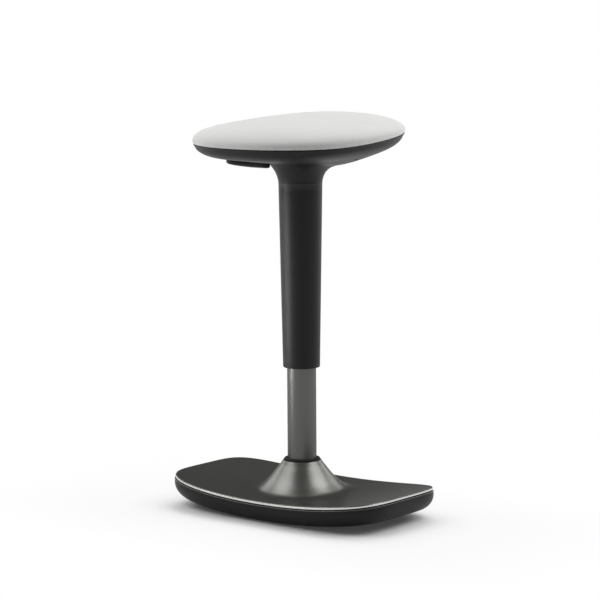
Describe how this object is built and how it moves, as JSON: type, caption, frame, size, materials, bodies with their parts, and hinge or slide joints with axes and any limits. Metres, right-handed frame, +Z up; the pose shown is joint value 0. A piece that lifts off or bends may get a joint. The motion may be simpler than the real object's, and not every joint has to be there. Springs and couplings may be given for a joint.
{
  "type": "perch stool",
  "caption": "Height-adjustable perch stool: a tilted, crowned round seat on a telescopic swivel column, with a release lever, over a long base that rocks sideways.",
  "frame": {"origin": "on the floor under the axis of the column, at the middle of the flat land of the rubber sole", "axes": "+Z up along the column; X along the long axis of the base, which is the way it rocks; -Y to the front of the seat, its lower edge"},
  "size_m": [0.4584, 0.3579, 0.6946],
  "materials": {
    "deck_metal": "satin metallic dark grey paint",
    "trim_metal": "polished edge",
    "column_metal": "satin metallic grey paint",
    "black_plastic": "fine-grained satin black",
    "black_rubber": "matte",
    "dark_steel": "black coated",
    "bright_steel": "zinc plated",
    "nylon": "natural nylon",
    "plywood": "raw moulded plywood",
    "foam": "moulded open-cell foam",
    "seat_fabric": "light grey upholstery"
  },
  "bodies": {
    "base": {"deck_cover": "deck_metal", "edge_trim": "trim_metal", "base_body": "black_plastic", "rocker_plate": "dark_steel", "sole_pad": "black_rubber", "column_socket": "dark_steel", "socket_bolt_1": "bright_steel", "socket_bolt_2": "bright_steel", "socket_bolt_3": "bright_steel", "socket_bolt_4": "bright_steel", "base_screw_1": "bright_steel", "base_screw_2": "bright_steel", "base_screw_3": "bright_steel", "base_screw_4": "bright_steel", "base_screw_5": "bright_steel", "base_screw_6": "bright_steel", "boot_seal": "black_rubber", "column_tube": "column_metal", "tube_end_plate": "bright_steel", "bearing_lower_race": "bright_steel", "bearing_cage": "nylon", "guide_bushing": "nylon"},
    "rod": {"piston_rod": "bright_steel", "piston": "nylon", "bearing_upper_race": "bright_steel", "bump_stop": "black_rubber", "retaining_clip": "bright_steel"},
    "seat": {"pressure_tube": "dark_steel", "rod_guide": "nylon", "column_sleeve": "black_plastic", "sleeve_glide": "nylon", "seat_shell": "black_plastic", "shell_screw_1": "bright_steel", "shell_screw_2": "bright_steel", "shell_screw_3": "bright_steel", "shell_screw_4": "bright_steel", "seat_board": "plywood", "seat_foam": "foam", "seat_cover": "seat_fabric", "seat_plate": "dark_steel", "lever_housing": "dark_steel", "taper_hub": "dark_steel", "seat_bolt_1": "bright_steel", "seat_bolt_2": "bright_steel", "seat_bolt_3": "bright_steel", "seat_bolt_4": "bright_steel"},
    "lever": {"lever_arm": "dark_steel", "lever_paddle": "black_plastic", "lever_pivot": "bright_steel"},
    "pin": {"release_pin": "bright_steel"}
  },
  "joints": [
    {"name": "seat_swivel", "type": "hinge", "parent": "base", "child": "rod", "pos_m": [0, 0, 0.03], "axis": [0, 0, 1], "continuous": true},
    {"name": "seat_height", "type": "slide", "parent": "rod", "child": "seat", "axis": [0, 0, 1], "range_m": [-0.155, 0.095]},
    {"name": "lever_lift", "type": "hinge", "parent": "seat", "child": "lever", "pos_m": [-0.02393, -0.0181, 0.6307], "axis": [-0.6032, 0.7976, 0], "range_deg": [0, 5], "stiffness_Nm_per_rad": 4, "springref_deg": -2.86},
    {"name": "pin_press", "type": "slide", "parent": "seat", "child": "pin", "axis": [0, 0, -1], "range_m": [0, 0.0027]}
  ],
  "couplings": [
    {"joint": "pin_press", "follows": "lever_lift", "m_per_rad": 0.03}
  ]
}
